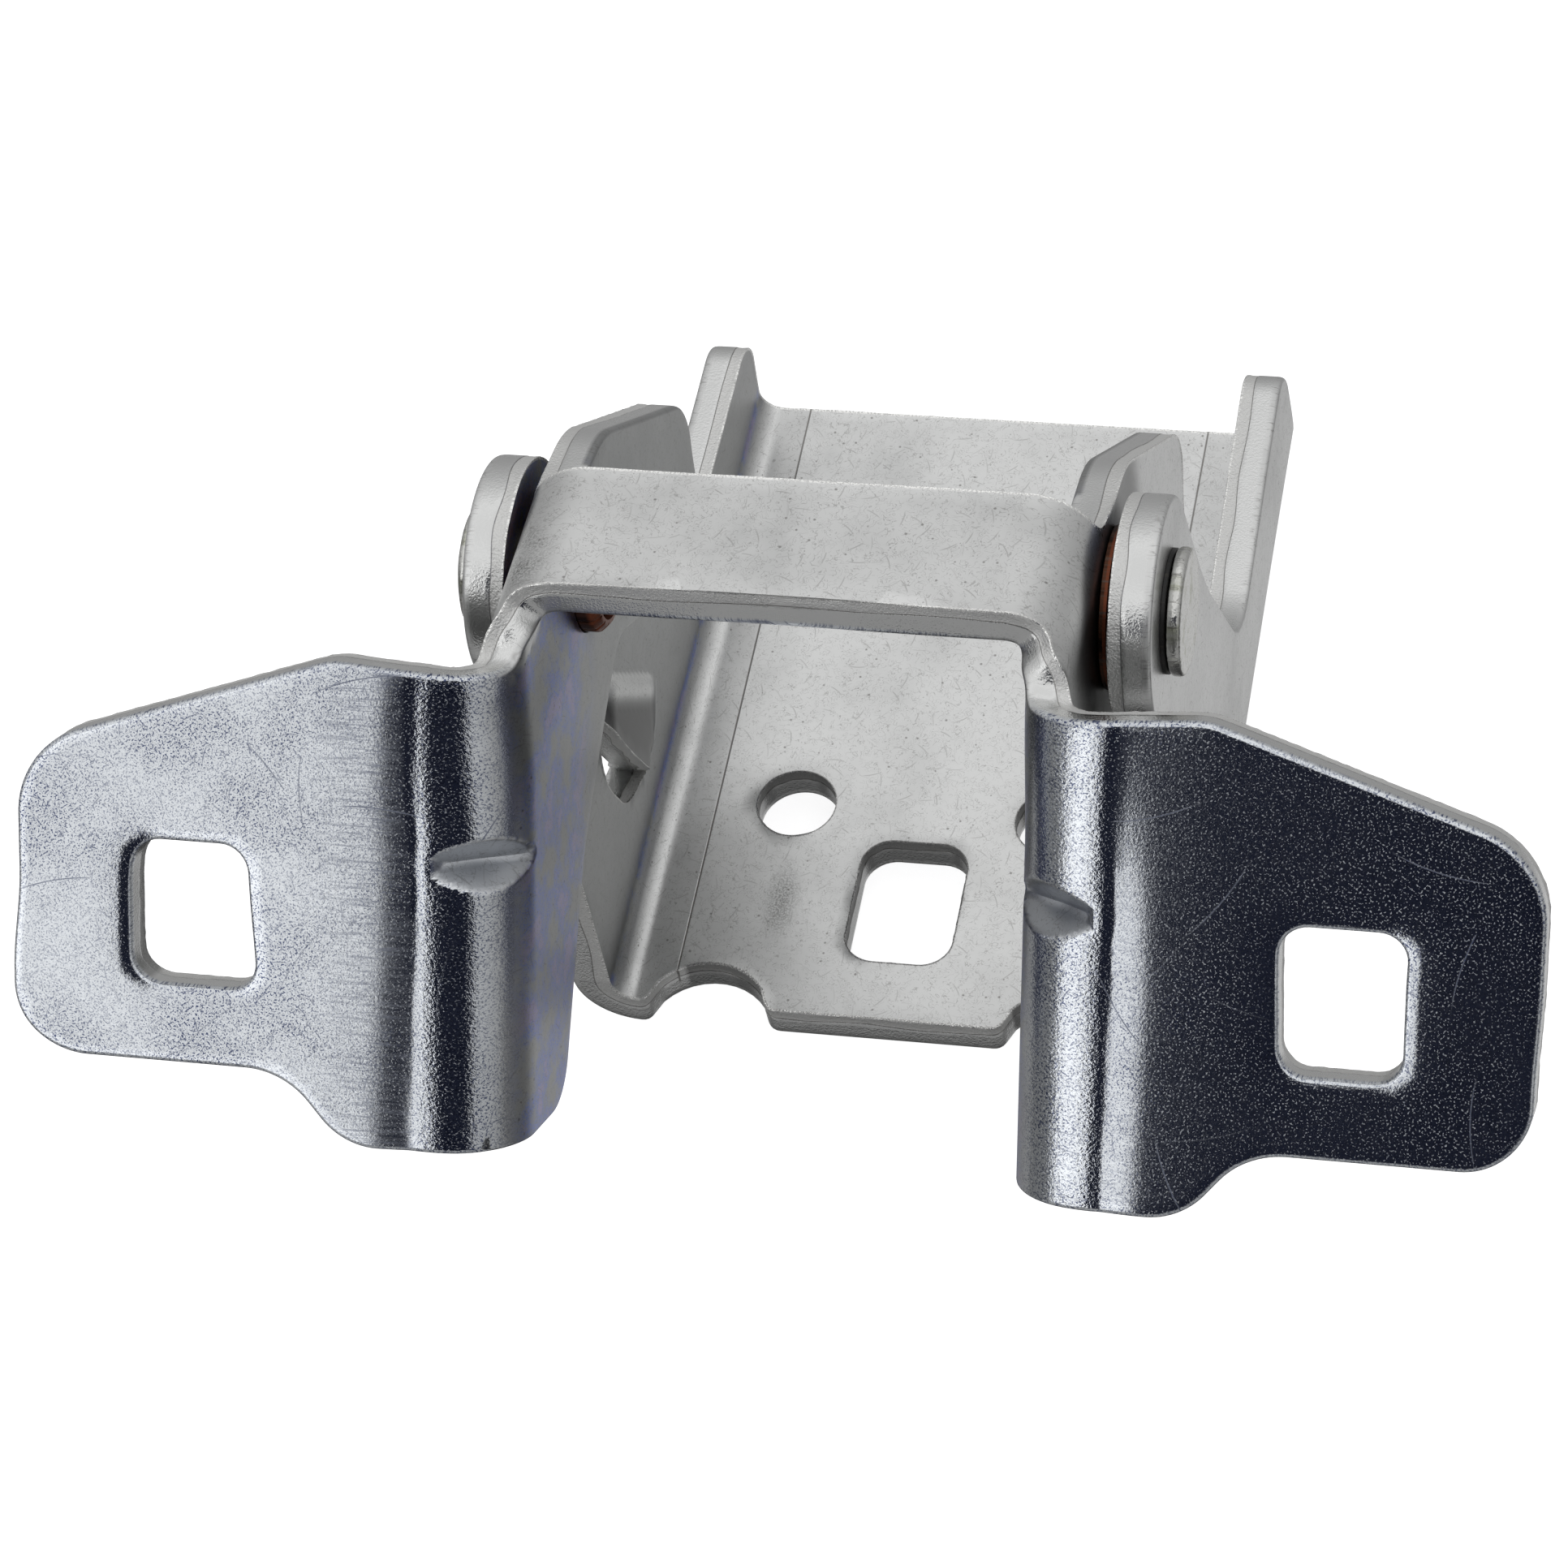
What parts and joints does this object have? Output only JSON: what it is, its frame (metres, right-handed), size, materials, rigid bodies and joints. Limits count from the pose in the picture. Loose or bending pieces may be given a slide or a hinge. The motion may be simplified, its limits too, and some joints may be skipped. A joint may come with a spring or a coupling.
{
  "type": "truck door hinge",
  "caption": "Stamped steel truck door hinge: a U-shaped pillar leaf with raised ears, and a winged door leaf bridged by a strap, turning on short headed pins in bronze bushes.",
  "frame": {"origin": "midway between the pillar leaf's two round bolt holes, in its mounting face", "axes": "+Z away from the pillar, square to the mounting face; +X along the hinge axis; +Y from the hinge axis towards the far end of the pillar leaf"},
  "size_m": [0.16, 0.1373, 0.0867],
  "materials": {
    "zinc_steel": "satin zinc plating",
    "pin_steel": "plated, satin",
    "washer_steel": "dark, satin",
    "bush_bronze": "sintered bronze, dull"
  },
  "bodies": {
    "pillar": {"pillar_leaf": "zinc_steel", "pin_left": "pin_steel", "pin_right": "pin_steel", "washer_left": "washer_steel", "washer_right": "washer_steel"},
    "door": {"door_leaf": "zinc_steel", "bush_left": "bush_bronze", "bush_right": "bush_bronze"}
  },
  "joints": [
    {"name": "door_hinge", "type": "hinge", "parent": "pillar", "child": "door", "pos_m": [0, -0.01765, 0.0693], "axis": [1, 0, 0], "range_deg": [-19.5, 51.5]}
  ]
}
